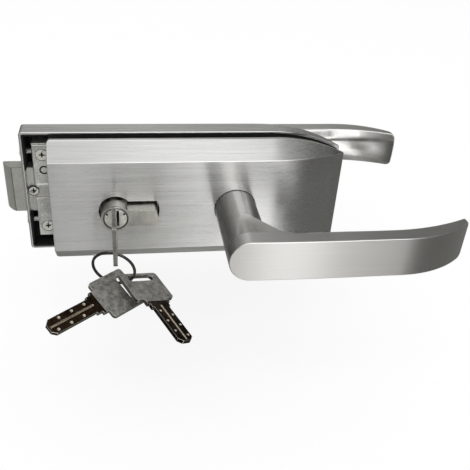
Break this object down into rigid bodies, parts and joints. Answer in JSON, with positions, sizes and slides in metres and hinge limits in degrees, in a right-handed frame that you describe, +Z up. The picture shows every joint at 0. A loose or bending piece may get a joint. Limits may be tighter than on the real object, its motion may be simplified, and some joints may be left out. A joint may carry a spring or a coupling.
{
  "type": "glass door lock",
  "caption": "Brushed steel glass door lock with a lever on each side, a latch bolt and a euro profile cylinder with keys on a ring.",
  "frame": {"origin": "midway between the cylinder's axis and the spindle's axis, on the rear lining's face that lies on the glass", "axes": "+X from the latch to the levers' ends, +Y through the glass to the rear side, +Z up; the front side with the keys faces -Y"},
  "size_m": [0.2694, 0.1791, 0.0802],
  "materials": {
    "cover": "brushed along the length",
    "lever": "fine brushed",
    "lining": "matte black sheet",
    "plate": "pressed sheet",
    "case": "light grey cast, zinc plated",
    "screw": "zinc plated",
    "sleeve": "moulded nylon",
    "bush": "moulded nylon",
    "cylinder": "matt nickel plated",
    "plug": "nickel plated",
    "cam": "sintered steel",
    "key": "matt nickel plated",
    "ring": "dark spring steel",
    "inner_steel": "stamped steel",
    "latch": "satin sintered steel",
    "spring": "spring wire"
  },
  "bodies": {
    "housing": {"front_cover": "cover", "rear_cover": "cover", "front_lining": "lining", "rear_lining": "lining", "edge_liner": "lining", "front_plate": "plate", "lock_case": "case", "case_lid": "case", "lid_screws": "screw", "end_screws": "screw", "clamp_bolts": "screw", "clamp_sleeves": "sleeve", "cover_screws": "screw", "neck_bushes": "bush", "cylinder_body": "cylinder", "cylinder_screw": "screw", "rear_plug": "plug", "latch_spring": "spring", "spring_rod": "inner_steel", "return_spring": "spring"},
    "levers": {"front_lever": "lever", "rear_lever": "lever", "spindle": "inner_steel", "follower": "inner_steel", "lever_screws": "screw"},
    "latch": {"latch_bolt": "latch", "guide_screw": "screw"},
    "plug": {"front_plug": "plug", "plug_ring": "plug", "cam": "cam", "key_1": "key"},
    "slide": {"lock_slide": "inner_steel"},
    "ring": {"key_ring": "ring"},
    "second_key": {"key_2": "key"},
    "third_key": {"key_3": "key"}
  },
  "joints": [
    {"name": "lever_turn", "type": "hinge", "parent": "housing", "child": "levers", "pos_m": [0.036, 0, 0], "axis": [0, 1, 0], "range_deg": [0, 46], "stiffness_Nm_per_rad": 1.2, "springref_deg": -28.65, "deforming": ["return_spring"]},
    {"name": "latch_slide", "type": "slide", "parent": "housing", "child": "latch", "axis": [1, 0, 0], "range_m": [0, 0.0125], "deforming": ["latch_spring"]},
    {"name": "key_turn", "type": "hinge", "parent": "housing", "child": "plug", "pos_m": [-0.036, 0, 0], "axis": [0, 1, 0], "range_deg": [0, 90]},
    {"name": "deadlock_slide", "type": "slide", "parent": "housing", "child": "slide", "axis": [-1, 0, 0], "range_m": [0, 0.01838]},
    {"name": "ring_swing", "type": "hinge", "parent": "plug", "child": "ring", "pos_m": [-0.0366, -0.0545, -0.0067], "axis": [0.9535, -0.255, -0.1606], "range_deg": [-25, 25]},
    {"name": "second_key_swing", "type": "hinge", "parent": "ring", "child": "second_key", "pos_m": [-0.03298, -0.05114, -0.02969], "axis": [-0.8713, 0.3314, -0.362], "range_deg": [-20, 15]},
    {"name": "third_key_swing", "type": "hinge", "parent": "ring", "child": "third_key", "pos_m": [-0.02852, -0.05314, -0.02625], "axis": [-0.5756, 0.3184, -0.7532], "range_deg": [-20, 20]}
  ],
  "couplings": [
    {"joint": "latch_slide", "follows": "lever_turn", "m_per_rad": 0.015573},
    {"joint": "deadlock_slide", "follows": "key_turn", "m_per_rad": 0.011704}
  ]
}
